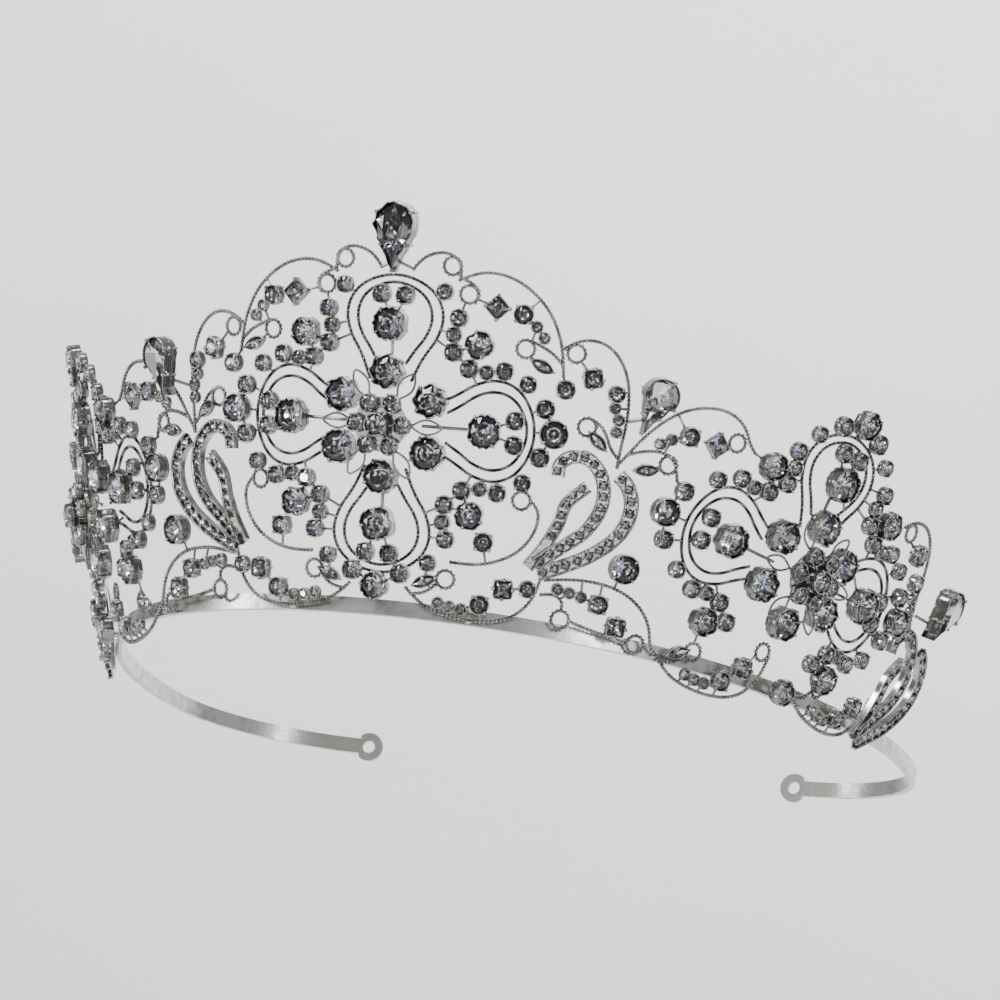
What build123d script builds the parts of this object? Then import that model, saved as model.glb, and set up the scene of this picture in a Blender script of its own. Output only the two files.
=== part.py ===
from build123d import *
import os
from math import atan2, cos, degrees, hypot, inf, radians, sin, tan

os.makedirs("parts", exist_ok=True)

# Bridal tiara: wire filigree and set stones on a leaning front, soldered to a horseshoe band.
# Millimetres. X runs across the tiara, the front faces -Y, and Z is up from the resting surface.
# The front is one flat pattern rolled onto a leaning surface, so its pieces are laid out flat,
# as (u, v) from a medallion's centre: u to the wearer's left, v up the front.

# ---- Driving dimensions: the band's plan and the lean of the front
FRONT_RADIUS = 74.0
FRONT_ARC = 80.0  # along the base line, from the middle to the end of the front arc
SIDE_RADIUS = 128.0
SIDE_ARC = 80.0
TAIL_RADIUS = 34.5
TAIL_ARC = 47.0
LEAN = radians(16.4)
BASE_HEIGHT = 6.98  # base line above the resting surface, where the lowest scallops touch
BASE_SETBACK = 59.61  # front of the base line ahead of the origin

# ---- Band
BAND_HEIGHT = 3.0
BAND_THICKNESS = 1.3
BAND_DEPTH = -1.8  # middle of the band behind the filigree
BAND_LINE = -2.0  # middle of the band up the front, from the base line
EYELET_RADIUS = 2.9
EYELET_HOLE = 1.25
EYELET_THICKNESS = 0.9
EYELET_SETBACK = 1.9  # from the band's end to the middle of the hole
PIN_RADIUS = 0.6
PIN_GAP = 0.03  # between a solder pin's end and the wire in front of it
PINS = [("centre", 17.9, -36.0), ("centre", 54.8, -41.1), ("right", 12.6, -21.7)]

# ---- Wires and settings
ROPE_RADIUS = 0.38
BEADED_RADIUS = 0.42
STEM_RADIUS = 0.35
LEAF_RADIUS = 0.28
SEAT = 0.5  # back of a setting, in front of the middle of the wires
CUP_WALL = 0.32
CUP_FLOOR = 0.3
FIT = 0.03
PAVILION = 0.70  # depth below the girdle, in radii
CROWN = 0.30  # height above the girdle, in radii
TABLE = 0.58  # table radius, in radii
RIM = 0.16  # rim above the girdle, in radii
PRONG_RADIUS = 0.35
BALL_RADIUS = 0.42

# ---- Medallions: centre along the base line, height up the front, turn, side
MEDALLIONS = {
    "centre": (0.0, 33.0, 0.0, 1),
    "centre_mirrored": (0.0, 33.0, 0.0, -1),
    "right": (80.0, 20.5, -4.7, 1),
    "left": (80.0, 20.5, -4.7, -1),
}
MADE = ("centre", "left", "right")
UNITS = {"right": ("centre", "right"), "left": ("centre_mirrored", "left")}  # inner and outer sheet
FLOWER_RING = 9.9
FLOWER_STONE = 6.2
ROSETTE_RING = 4.6
ROSETTE_STONE = 3.1
ROSETTE_RISE = 4.4  # back of the rosette's settings
CORE_STONE = 4.0
CORE_RISE = 5.8
POST_RADIUS = 1.2
PLATE_RADIUS = 5.2
PLATE_THICKNESS = 0.6
LEAF_RISE = 3.85
PETAL_REACH = 18.9
PETAL_STONE = 6.3
BIG_STONE = 5.2
TIP_STONE = 3.1

# ---- Outlines on the flat pattern, right half
INNER_PETAL = [(11.4, 2.8), (14.0, 4.3), (16.6, 6.4), (20.0, 7.6), (23.4, 6.8), (25.8, 4.2)]
OUTER_PETAL = [(8.2, 4.1), (11.0, 5.2), (13.6, 6.6), (16.6, 8.7), (20.8, 9.8), (24.6, 8.4), (27.2, 5.0)]
INNER_TIP = 27.0
OUTER_TIP = 28.4
LEAF_HALF = [(5.6, 0.0), (6.9, 1.0), (8.6, 1.5), (10.2, 1.0)]
LEAF_TIP = 11.6
CLUSTER = [
    (12.8, 20.9, 3.0), (12.0, 17.7, 2.6), (12.2, 14.4, 3.1), (15.3, 11.5, 3.1),
    (18.6, 11.0, 2.4), (21.9, 11.5, 3.0), (26.4, 9.3, 2.9),
]
CLUSTER_BIG = (17.0, 16.1)
SHOULDER = (9.8, 25.6, 2.8)
TIP_PAIR = [(24.4, 2.3, TIP_STONE), (24.4, -2.3, TIP_STONE)]
FOOT = [(0.0, -30.6, 4.9), (4.7, -28.0, 3.2), (-4.7, -28.0, 3.2)]
CROWN_STONES = [(0.0, 31.2, 5.2), (5.2, 29.0, 3.4), (-5.2, 29.0, 3.4), (7.6, -21.8, 4.6)]
FOOT_RING = (0.0, -16.4)  # beaded ring in place of the side medallions' lowest petal
CENTRE_PEAR = (14.0, 4.1)  # length, bulb radius
SIDE_PEAR = (11.2, 3.3)
CENTRE_PEAR_TIP = (0.0, 27.8)
SQUARE_SIDE = 3.2
MARQUISE = (4.6, 1.9)
PAVE_STONE = 1.8
PRONGED_STONE = 3.3
RING_RADIUS = 1.7

# Scrolls from the middle out to the first junction, which the outer unit repeats
CREST = [(3.2, 29.4), (4.4, 31.2), (6.9, 32.7), (9.9, 33.0), (12.1, 31.6), (12.5, 29.3), (12.3, 28.0)]
BIG_ARC = [(12.3, 28.0), (15.4, 29.6), (19.5, 29.8), (23.5, 28.6), (27.2, 26.0), (30.0, 22.7),
           (31.7, 18.9), (32.6, 15.2), (32.9, 11.2)]
BIG_CURL = [(12.8, 28.3), (15.6, 27.2), (16.3, 25.0), (15.4, 23.9)]
LOW_CURL = [(26.6, 17.4), (29.8, 16.0), (31.5, 14.6), (32.6, 13.4)]
SIDE_ARC_ROUTE = [(32.5, 16.2), (34.8, 17.9), (38.3, 18.4), (41.4, 17.3), (43.8, 14.7), (45.3, 11.1),
                  (45.7, 6.5), (45.4, 2.2), (44.6, -1.9), (44.2, -5.4)]
SIDE_CURL = [(38.3, 3.6), (40.4, 2.7), (41.9, 0.4), (42.7, -2.2), (44.4, -4.0)]
CREST_RINGS = [(10.7, 30.5)]
BIG_RINGS = [(14.2, 25.4), (25.5, 15.9)]
SIDE_RINGS = [(35.1, 15.6), (38.0, 1.9)]
END_ARC = [(24.5, 17.7), (26.8, 19.4), (30.3, 19.9), (33.4, 18.8), (35.8, 16.2), (37.3, 12.6), (38.0, 8.0),
           (38.9, 3.5), (40.6, 0.2), (42.3, -2.6)]
END_RING = (27.1, 17.1)
FOOT_ARC = [(28.2, -12.6), (29.6, -13.8), (30.0, -16.4), (28.8, -19.8), (26.0, -22.9), (21.9, -24.8),
            (17.7, -25.5), (14.0, -25.2)]
FOOT_RINGS = [(26.5, -12.7)]

# Scrolls between the first junction and the side medallion
BRIDGE_ARC = [(44.3, -5.0), (46.8, -2.1), (49.2, 0.7), (52.5, 3.5), (56.3, 5.7), (60.6, 6.6), (65.0, 6.2),
              (68.2, 4.4), (70.0, 2.0), (70.8, -0.5), (72.0, -2.0)]
BRIDGE_CURL = [(46.2, -2.9), (48.2, -2.3), (50.8, -2.0), (53.4, -2.3), (55.4, -3.8), (56.0, -6.0),
               (56.2, -7.6)]
BRIDGE_RINGS = [(68.0, -0.1), (54.2, -4.6)]
LOWER_ARC = [(32.0, -27.4), (36.0, -27.0), (40.6, -27.2), (45.1, -28.2), (48.9, -30.2), (51.6, -33.0),
             (52.9, -36.0), (53.1, -38.4), (53.8, -40.2), (54.8, -41.0)]
LOWER_CURL = [(31.4, -30.2), (33.4, -29.9), (35.0, -30.7), (35.6, -32.0), (35.2, -33.0)]
LOWER_BAR = [(36.9, -34.9), (39.8, -36.1), (43.0, -37.0), (46.2, -38.0), (48.5, -38.8)]
LOWER_RINGS = [(50.2, -38.9), (35.2, -34.7)]

# Scalloped foot, from its own start, with where each one starts and how it is turned
SCALLOP = [(0.0, 0.0), (2.6, -2.7), (7.2, -4.5), (12.2, -5.3), (16.9, -5.2), (20.5, -4.1), (23.1, -1.8),
           (24.9, 1.2), (25.4, 4.0)]
SCALLOP_RING = (7.4, 2.2)
SCALLOP_STEM = [(1.0, -1.0), (3.2, -0.8), (5.0, 0.4), (5.9, 1.4)]
SCALLOPS = [("inner", 5.7, -30.7, 0.0), ("inner", 54.7, -41.0, -11.0), ("outer", 11.5, -20.5, 3.0)]

# Stones of the scrolls: flat position, and a turn where the shape needs one
PRONGED = [(24.8, 22.4, 45), (19.9, -20.9, 45)]
SIDE_PAVE = [(27.4, 20.2), (28.9, 18.2), (42.9, 5.8), (43.7, 3.6), (43.4, 1.3)]
END_PAVE = [(35.0, 5.8), (35.9, 3.4), (36.2, 0.9)]
BRIDGE_PAVE = [(52.0, -0.5), (54.2, 0.4)]
BRIDGE_PRONGED = (57.6, 1.1, 0)
LOWER_PAVE = [(34.2, -28.9), (36.5, -29.5), (38.7, -30.2)]
SCALLOP_PAVE = [(6.4, -2.2), (8.6, -2.8), (10.9, -3.1)]
SCALLOP_PRONGED = (14.2, -2.0, 0)
SQUARES = [(19.9, 23.4, 45), (38.4, 11.2, 8)]
END_SQUARE = (30.4, 13.8, 8)
BRIDGE_SQUARE = (63.2, -0.4, 32)
LOWER_SQUARE = (45.6, -35.6, -8)
SCALLOP_SQUARE = (18.4, 1.2, 0)
MARQUISES = [(28.8, 12.9, -25), (40.0, -0.6, -45)]
BRIDGE_MARQUISE = (49.6, -5.6, 3)
SCALLOP_MARQUISE = (3.6, 1.6, 22)
CHAIN = [(33.4, 8.8, 3.2), (29.9, 4.9, 3.2), (31.7, 0.3, 5.0), (29.4, -4.3, 3.2)]
SIDE_CHATON = (43.0, 8.5, 2.8)
CHAIN_INWARD = [(-31.7, 4.6, 3.2), (-33.6, -0.4, 5.0), (-31.4, -5.2, 3.2)]
RIBBON_CHATON = (46.4, -24.4, 5.2)
RIBBON_FOOT = (28.6, -29.2, 2.8)
LOWER_PRONGED = (42.0, -31.4, 0)

# Ribbon: three strands from its knot, and the pear beside its top
RIBBON_CENTRE = (37.0, -16.0)  # of the strands below
RIBBON_SEATS = {"front": (37.0, -16.0, 0.0), "end": (40.5, -12.8, 10.0)}  # centre and turn of each ribbon
STRANDS = [
    [(28.2, -25.0), (31.2, -20.9), (33.4, -16.8), (34.9, -12.6), (38.6, -9.2)],
    [(29.8, -24.3), (34.4, -20.9), (38.4, -18.0), (41.0, -14.3), (41.8, -10.4), (40.9, -6.6),
     (38.4, -4.0), (35.4, -3.7), (33.2, -5.2), (32.8, -7.6)],
    [(30.2, -26.2), (34.6, -24.6), (39.2, -22.6), (43.4, -19.8), (46.2, -16.4), (47.2, -12.4),
     (46.3, -8.9), (44.4, -6.8)],
]
STRAND_WIDTHS = (2.5, 2.7, 2.9)
RIBBON_THICKNESS = 1.2
CHANNEL_DEPTH = 0.9
PAVE_PITCH = 2.15
CHANNEL_EDGE = 0.4
PEAR_TIPS = {"front": (47.4, 1.6), "end": (41.0, 0.5)}
PEAR_TURN = -24.0
PEAR_RISE = 2.6
PEAR_PRONGS = (25, 70)  # degrees up from the middle of the bulb
STRUT_START = (1.2, 2.7, -0.05)  # from the pear's tip, and behind the back of its setting
STRUT_ENDS = {"front": (45.6, 3.4), "end": (39.1, 3.4)}  # over the scroll that carries the pear
STRUT_END_DEPTH = 0.85


def degrees_of(arc, radius):
    """Turn of an arc in degrees, from its length."""
    return degrees(arc / radius)


def base_line(s):
    """Plan point and heading of the base line at s along it from the middle."""
    side = 1 if s >= 0 else -1
    x, y, heading, left = 0.0, 0.0, 0.0, abs(s)
    for radius, length in ((FRONT_RADIUS, FRONT_ARC), (SIDE_RADIUS, SIDE_ARC), (TAIL_RADIUS, inf)):
        turned = heading + min(left, length) / radius
        x += radius * (sin(turned) - sin(heading))
        y += radius * (cos(heading) - cos(turned))
        heading = turned
        left -= min(left, length)
    return side * x, y, side * heading


def on_front(s, h, d=0.0):
    """Point h up the leaning front from the base line at s, and d out from it."""
    x, y, heading = base_line(s)
    out = h * sin(LEAN) + d * cos(LEAN)
    up = h * cos(LEAN) - d * sin(LEAN)
    return Vector(x + out * sin(heading), y - out * cos(heading) - BASE_SETBACK, up + BASE_HEIGHT)


def on_sheet(medallion, u, v, d=0.0):
    """Point (u, v) of the flat pattern about a medallion's centre, rolled onto the front."""
    centre, height, turn, side = MEDALLIONS[medallion]
    across = u * cos(radians(turn)) - v * sin(radians(turn))
    up = u * sin(radians(turn)) + v * cos(radians(turn))
    radius = SIDE_RADIUS if centre > 0 and across > 0 else FRONT_RADIUS
    apex = radius / sin(LEAN)
    angle = atan2(across, apex + height + up)
    return on_front(side * (centre + angle * apex), hypot(across, apex + height + up) - apex, d)


def seat(medallion, u, v, d=SEAT, turn=0.0):
    """Plane tangent to the front at (u, v), facing out, its x axis along u turned by turn."""
    step = 0.01
    origin = on_sheet(medallion, u, v, d)
    normal = (on_sheet(medallion, u, v, d + 1) - origin).normalized()
    side = MEDALLIONS[medallion][3]
    across = (on_sheet(medallion, u + step, v, d) - origin).normalized() * side
    return Plane(origin, x_dir=across.rotate(Axis((0, 0, 0), normal), side * turn), z_dir=normal)


def moved(points, u, v, turn=0.0):
    """Flat points turned about the origin and then shifted by (u, v)."""
    c, s = cos(radians(turn)), sin(radians(turn))
    return [(u + p[0] * c - p[1] * s, v + p[0] * s + p[1] * c, *p[2:]) for p in points]


def bend_radii(points):
    """One fillet radius for each corner, as large as the two runs beside it allow."""
    radii = []
    for before, corner, after in zip(points, points[1:], points[2:]):
        run, next_run = corner - before, after - corner
        turn = radians(run.get_angle(next_run))
        radii.append(0.45 * min(run.length, next_run.length) / tan(turn / 2))
    return radii


def wires(routes, wire_radius, rings=()):
    """Round wires along the routes, with closed rings, all fused where they meet."""
    with BuildPart() as frame:
        for route in routes:
            with BuildLine() as path:
                if len(route) == 2:
                    Line(*route)
                else:
                    FilletPolyline(*route, radius=bend_radii(route))
            with BuildSketch(Plane(path.line @ 0, z_dir=path.line % 0)):
                Circle(wire_radius)
            sweep(path=path.line)
        for plane, ring_radius in rings:
            with Locations(plane.location):
                Torus(ring_radius, wire_radius)
    return frame.part


def save(name, part):
    part.label = name
    export_step(part, f"parts/{name}.step")


# ---- Medallion wires
def petal_turns(medallion):
    """Turns of the petals: four in the middle, and none at the foot of the side medallions."""
    return (0, 90, 180, 270) if medallion == "centre" else (0, 90, 180)


def petal_routes(medallion):
    """Petals, each an inner and an outer wire bent round its stone."""
    routes = []
    for petal_turn in petal_turns(medallion):
        for half, tip in ((INNER_PETAL, INNER_TIP), (OUTER_PETAL, OUTER_TIP)):
            outline = half + [(tip, 0.0)] + [(u, -v) for u, v in reversed(half)]
            turned = moved(outline, 0, 0, petal_turn)
            routes.append([on_sheet(medallion, u, v) for u, v in turned])
    return routes


for name in MADE:
    save(f"{name}_petal_wires", wires(petal_routes(name), ROPE_RADIUS))


def leaf_routes(medallion):
    """Six navette leaves of fine wire between the flower's stones."""
    outline = LEAF_HALF + [(LEAF_TIP, 0.0)] + [(u, -v) for u, v in reversed(LEAF_HALF[1:])]
    routes = []
    for sixth in range(6):
        turned = moved(outline, 0, 0, 60 * sixth)
        routes.append([on_sheet(medallion, u, v, LEAF_RISE) for u, v in turned])
    return routes


for name in MADE:
    save(f"{name}_leaf_loops", wires(leaf_routes(name), LEAF_RADIUS))


# ---- Settings and stones, each standing on the XY plane of its own seat
def round_gem(diameter):
    """Foiled round stone: pointed pavilion, crown and flat table, above the setting's floor."""
    radius = diameter / 2
    culet = CUP_FLOOR + FIT
    girdle = culet + PAVILION * radius
    with BuildPart() as gem:
        with BuildSketch(Plane.XZ):
            with BuildLine():
                Polyline(
                    (0, culet), (radius, girdle), (TABLE * radius, girdle + CROWN * radius),
                    (0, girdle + CROWN * radius), (0, culet),
                )
            make_face()
        revolve(axis=Axis.Z)
    return gem.part


def round_cup(diameter, prongs=0):
    """Cup with a conical seat for a round stone, and ball prongs round its rim if asked for."""
    radius = diameter / 2
    outer = radius + CUP_WALL
    girdle = CUP_FLOOR + PAVILION * radius
    rim = girdle + RIM * radius
    with BuildPart() as cup:
        Cylinder(outer, rim, align=(Align.CENTER, Align.CENTER, Align.MIN))
        if prongs:
            with PolarLocations(outer, prongs):
                Cylinder(PRONG_RADIUS, rim, align=(Align.CENTER, Align.CENTER, Align.MIN))
                with Locations((0, 0, rim)):
                    Sphere(BALL_RADIUS)
        with BuildSketch(Plane.XZ):
            with BuildLine():
                Polyline(
                    (0, CUP_FLOOR), (radius + FIT, girdle), (radius + FIT, 2 * rim), (0, 2 * rim),
                    (0, CUP_FLOOR),
                )
            make_face()
        revolve(axis=Axis.Z, mode=Mode.SUBTRACT)
    return cup.part


def tapered_gem(outline, size):
    """Foiled stone of any outline: narrowing pavilion below the girdle and crown above it."""
    culet = CUP_FLOOR + FIT
    girdle = culet + PAVILION * size / 2
    with BuildPart() as gem:
        for level, scale_by in ((culet, 0.35), (girdle, 1.0)):
            with BuildSketch(Plane.XY.offset(level)):
                add(scale(outline, scale_by, mode=Mode.PRIVATE))
        loft(ruled=True)
        for level, scale_by in ((girdle, 1.0), (girdle + CROWN * size / 2, TABLE)):
            with BuildSketch(Plane.XY.offset(level)):
                add(scale(outline, scale_by, mode=Mode.PRIVATE))
        loft(ruled=True)
    return gem.part


def walled_setting(outline, size, prong_spots=()):
    """Straight-walled setting round any outline, open in front, with ball prongs."""
    rim = CUP_FLOOR + (PAVILION + RIM) * size / 2
    with BuildPart() as setting:
        with BuildSketch():
            add(outline)
            offset(amount=CUP_WALL + FIT)
        extrude(amount=rim)
        for x, y in prong_spots:
            with Locations((x, y, 0)):
                Cylinder(PRONG_RADIUS, rim, align=(Align.CENTER, Align.CENTER, Align.MIN))
            with Locations((x, y, rim)):
                Sphere(BALL_RADIUS)
        with BuildSketch(Plane.XY.offset(CUP_FLOOR)):
            add(outline)
            offset(amount=FIT)
        extrude(amount=2 * rim, mode=Mode.SUBTRACT)
    return setting.part


def square_outline():
    with BuildSketch() as outline:
        RectangleRounded(SQUARE_SIDE, SQUARE_SIDE, SQUARE_SIDE / 8)
    return outline.sketch


def marquise_outline():
    length, width = MARQUISE
    with BuildSketch() as outline:
        with BuildLine():
            ThreePointArc((-length / 2, 0), (0, width / 2), (length / 2, 0))
            ThreePointArc((length / 2, 0), (0, -width / 2), (-length / 2, 0))
        make_face()
    return outline.sketch


def pear_outline(length, bulb):
    """Drop with the middle of its bulb at (0, 0) and its point down -Y."""
    reach = length - bulb
    lean = bulb / reach
    touch = (bulb * (1 - lean**2) ** 0.5, -bulb * lean)
    with BuildSketch() as outline:
        with BuildLine():
            Polyline((0, -reach), touch)
            ThreePointArc(touch, (0, bulb), (-touch[0], touch[1]))
            Polyline((-touch[0], touch[1]), (0, -reach))
        make_face()
    return outline.sketch


def pear_seat(sheet, tip, turn, rise, length, bulb):
    """Seat of a drop, from where its point is on the flat pattern."""
    plane = seat(sheet, *tip, rise, turn)
    middle = plane.from_local_coords((0, length - bulb, 0))
    return Plane(middle, x_dir=plane.x_dir, z_dir=plane.z_dir)


def group(items):
    """One part from (solid, seats) pairs: a copy of each solid at each of its seats."""
    with BuildPart() as whole:
        for solid, seats in items:
            with Locations(*[plane.location for plane in seats]):
                add(solid)
    return whole.part


def set_round(spots, rise=SEAT, prongs=0):
    """Settings and stones for round spots of (sheet, u, v, diameter, turn)."""
    cups, gems = [], []
    for diameter in sorted({spot[3] for spot in spots}):
        seats = [seat(s, u, v, rise, turn) for s, u, v, size, turn in spots if size == diameter]
        cups.append((round_cup(diameter, prongs), seats))
        gems.append((round_gem(diameter), seats))
    return cups, gems


def save_group(name, items):
    save(name, group(items))


# ---- Medallion settings: flower ring, raised rosette, petal stones and clusters
def quadrants(points):
    """The same spots in all four quarters of a medallion."""
    return [(a * u, b * v, size) for u, v, size in points for a in (1, -1) for b in (1, -1)]


def polar(radius, angle):
    return radius * cos(radians(angle)), radius * sin(radians(angle))


def flower_spots(sheet):
    return [(sheet, *polar(FLOWER_RING, 30 + 60 * k), FLOWER_STONE, 0) for k in range(6)]


def petal_spots(sheet):
    return [(sheet, *polar(PETAL_REACH, turn), PETAL_STONE, 0) for turn in petal_turns(sheet)]


def cluster_spots(sheet):
    full = CLUSTER + [(*CLUSTER_BIG, BIG_STONE), SHOULDER]
    if sheet == "centre":
        spots = quadrants(full) + FOOT
    else:
        upper = [(a * u, v, size) for u, v, size in full for a in (1, -1)]
        lower = [(a * u, -v, size) for u, v, size in full[2:-1] for a in (1, -1)]
        spots = upper + lower + CROWN_STONES
    spots += [spot for turn in petal_turns(sheet) for spot in moved(TIP_PAIR, 0, 0, turn)]
    return [(sheet, u, v, size, 0) for u, v, size in spots]


def rosette_group(sheet, piece, core_piece):
    """Six pieces round a raised one, on the flat plate of the rosette."""
    plate = seat(sheet, 0, 0, ROSETTE_RISE)
    with BuildPart() as rosette:
        with Locations(plate.location):
            with PolarLocations(ROSETTE_RING, 6):
                add(piece)
        with Locations(plate.offset(CORE_RISE - ROSETTE_RISE).location):
            add(core_piece)
    return rosette.part


def rosette_plate(sheet):
    """Plate that carries the rosette, on a post from the back of the flower, with the core's post."""
    with BuildPart() as plate:
        with BuildSketch(seat(sheet, 0, 0, -STEM_RADIUS)):
            Circle(POST_RADIUS)
        extrude(amount=ROSETTE_RISE + STEM_RADIUS)
        with BuildSketch(seat(sheet, 0, 0, ROSETTE_RISE - PLATE_THICKNESS)):
            Circle(PLATE_RADIUS)
        extrude(amount=PLATE_THICKNESS)
        with BuildSketch(seat(sheet, 0, 0, ROSETTE_RISE)):
            Circle(POST_RADIUS)
        extrude(amount=CORE_RISE - ROSETTE_RISE)
    return plate.part


def petal_stems(sheet):
    """Straight stems from behind the flower out to each petal's stone."""
    depth = SEAT - STEM_RADIUS
    ends = (FLOWER_RING - FLOWER_STONE / 2, PETAL_REACH)
    routes = [[on_sheet(sheet, *polar(r, turn), depth) for r in ends] for turn in petal_turns(sheet)]
    return wires(routes, STEM_RADIUS)


for name in MADE:
    save(f"{name}_rosette_plate", rosette_plate(name))
    for kind, spots in (
        ("flower", flower_spots(name)), ("petal", petal_spots(name)), ("cluster", cluster_spots(name))
    ):
        cups, gems = set_round(spots)
        with BuildPart() as settings:
            add(group(cups))
            if kind == "petal":
                add(petal_stems(name))
        save(f"{name}_{kind}_settings", settings.part)
        save_group(f"{name}_{kind}_stones", gems)
    cups = rosette_group(name, round_cup(ROSETTE_STONE), round_cup(CORE_STONE))
    gems = rosette_group(name, round_gem(ROSETTE_STONE), round_gem(CORE_STONE))
    save(f"{name}_rosette_settings", cups)
    save(f"{name}_rosette_stones", gems)


# ---- Scrolls of beaded wire
def rolled(sheet, routes):
    return [[on_sheet(sheet, u, v) for u, v in route] for route in routes]


def ring_seats(sheet, centres):
    return [(seat(sheet, u, v, 0), RING_RADIUS) for u, v in centres]


def scallop_wires(sheet, u, v, turn):
    routes = rolled(sheet, [moved(SCALLOP, u, v, turn), moved(SCALLOP_STEM, u, v, turn)])
    return routes, ring_seats(sheet, moved([SCALLOP_RING], u, v, turn))


UPPER_ROUTES = [CREST, BIG_ARC, BIG_CURL, LOW_CURL, SIDE_ARC_ROUTE, SIDE_CURL, BRIDGE_ARC, BRIDGE_CURL]

for side, (inner, outer) in UNITS.items():
    upper = rolled(inner, UPPER_ROUTES)
    upper_rings = ring_seats(inner, CREST_RINGS + BIG_RINGS + SIDE_RINGS + BRIDGE_RINGS)
    save(f"{side}_upper_scrolls", wires(upper, BEADED_RADIUS, upper_rings))

    lower = rolled(inner, [FOOT_ARC, LOWER_ARC, LOWER_CURL, LOWER_BAR])
    lower_rings = ring_seats(inner, FOOT_RINGS + LOWER_RINGS)
    for sheet, u, v, turn in SCALLOPS[:2]:
        routes, rings = scallop_wires(inner, u, v, turn)
        lower += routes
        lower_rings += rings
    save(f"{side}_lower_scrolls", wires(lower, BEADED_RADIUS, lower_rings))

    routes, rings = scallop_wires(outer, *SCALLOPS[2][1:])
    end = rolled(outer, [END_ARC]) + routes
    end_rings = ring_seats(outer, [END_RING, FOOT_RING]) + rings
    save(f"{side}_end_scrolls", wires(end, BEADED_RADIUS, end_rings))


# ---- Stones along the scrolls
def scroll_spots(inner, outer):
    """Round stones of one side: plain cups, then cups with ball prongs."""
    plain, pronged = [], []
    for sheet in (inner, outer):
        plain += [(sheet, u, v, size) for u, v, size in CHAIN]
    plain += [(inner, *spot) for spot in (SIDE_CHATON, RIBBON_CHATON, RIBBON_FOOT)]
    plain += [(outer, *spot) for spot in CHAIN_INWARD]
    plain += [(inner, u, v, PAVE_STONE) for u, v in SIDE_PAVE + BRIDGE_PAVE + LOWER_PAVE]
    plain += [(outer, u, v, PAVE_STONE) for u, v in END_PAVE]
    pronged += [(inner, *spot) for spot in PRONGED + [BRIDGE_PRONGED, LOWER_PRONGED]]
    for place, u, v, turn in SCALLOPS:
        sheet = outer if place == "outer" else inner
        plain += [(sheet, x, y, PAVE_STONE) for x, y in moved(SCALLOP_PAVE, u, v, turn)]
        pronged += [(sheet, x, y, turn) for x, y, _ in moved([SCALLOP_PRONGED], u, v, turn)]
    plain = [(sheet, u, v, size, 0) for sheet, u, v, size in plain]
    pronged = [(sheet, u, v, PRONGED_STONE, turn) for sheet, u, v, turn in pronged]
    return plain, pronged


def shaped_seats(inner, outer):
    """Seats of the square and the navette stones of one side."""
    squares = [seat(inner, u, v, SEAT, turn) for u, v, turn in SQUARES + [BRIDGE_SQUARE, LOWER_SQUARE]]
    squares.append(seat(outer, *END_SQUARE[:2], SEAT, END_SQUARE[2]))
    navettes = [seat(inner, u, v, SEAT, turn) for u, v, turn in MARQUISES + [BRIDGE_MARQUISE]]
    for place, u, v, tilt in SCALLOPS:
        sheet = outer if place == "outer" else inner
        shaped = [(SCALLOP_SQUARE, squares)]
        if place == "inner":
            shaped.append((SCALLOP_MARQUISE, navettes))
        for (x, y, turn), seats in shaped:
            spot = moved([(x, y)], u, v, tilt)[0]
            seats.append(seat(sheet, *spot, SEAT, turn + tilt))
    return squares, navettes


both_plain, both_pronged, square_seats, navette_seats, side_pear_seats, struts = [], [], [], [], [], []
for inner, outer in UNITS.values():
    plain, pronged = scroll_spots(inner, outer)
    both_plain += plain
    both_pronged += pronged
    squares, navettes = shaped_seats(inner, outer)
    square_seats += squares
    navette_seats += navettes
    for place, sheet in (("front", inner), ("end", outer)):
        u, v = PEAR_TIPS[place]
        side_pear_seats.append(pear_seat(sheet, (u, v), PEAR_TURN, PEAR_RISE, *SIDE_PEAR))
        start = on_sheet(sheet, u + STRUT_START[0], v + STRUT_START[1], PEAR_RISE + STRUT_START[2])
        struts.append([start, on_sheet(sheet, *STRUT_ENDS[place], STRUT_END_DEPTH)])

plain_cups, plain_gems = set_round(both_plain)
pronged_cups, pronged_gems = set_round(both_pronged, prongs=4)
save_group("scroll_cups", plain_cups)
save_group("scroll_cup_stones", plain_gems)
save_group("scroll_pronged_settings", pronged_cups)
save_group("scroll_pronged_stones", pronged_gems)

corner = SQUARE_SIDE / 2 + CUP_WALL
square_prongs = [(a * corner, b * corner) for a in (1, -1) for b in (1, -1)]
square_setting = walled_setting(square_outline(), SQUARE_SIDE, square_prongs)
save_group("square_settings", [(square_setting, square_seats)])
save_group("square_stones", [(tapered_gem(square_outline(), SQUARE_SIDE), square_seats)])

navette_setting = walled_setting(marquise_outline(), MARQUISE[1])
save_group("navette_settings", [(navette_setting, navette_seats)])
save_group("navette_stones", [(tapered_gem(marquise_outline(), MARQUISE[1]), navette_seats)])


# ---- Pears: one over the middle, and one beside the top of each ribbon
def pear_prongs(bulb):
    """Prongs at the two shoulders and the two sides of the top of a drop."""
    reach = bulb + CUP_WALL
    return [(a * reach * cos(radians(b)), reach * sin(radians(b))) for a in (1, -1) for b in PEAR_PRONGS]


for name, (length, bulb), seats in (
    ("centre_pear", CENTRE_PEAR, [pear_seat("centre", CENTRE_PEAR_TIP, 0, SEAT, *CENTRE_PEAR)]),
    ("side_pear", SIDE_PEAR, side_pear_seats),
):
    outline = pear_outline(length, bulb)
    with BuildPart() as pears:
        add(group([(walled_setting(outline, 2 * bulb, pear_prongs(bulb)), seats)]))
        if name == "side_pear":
            add(wires(struts, STEM_RADIUS))
    save(f"{name}_setting", pears.part)
    save_group(f"{name}_stone", [(tapered_gem(outline, 2 * bulb), seats)])


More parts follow.
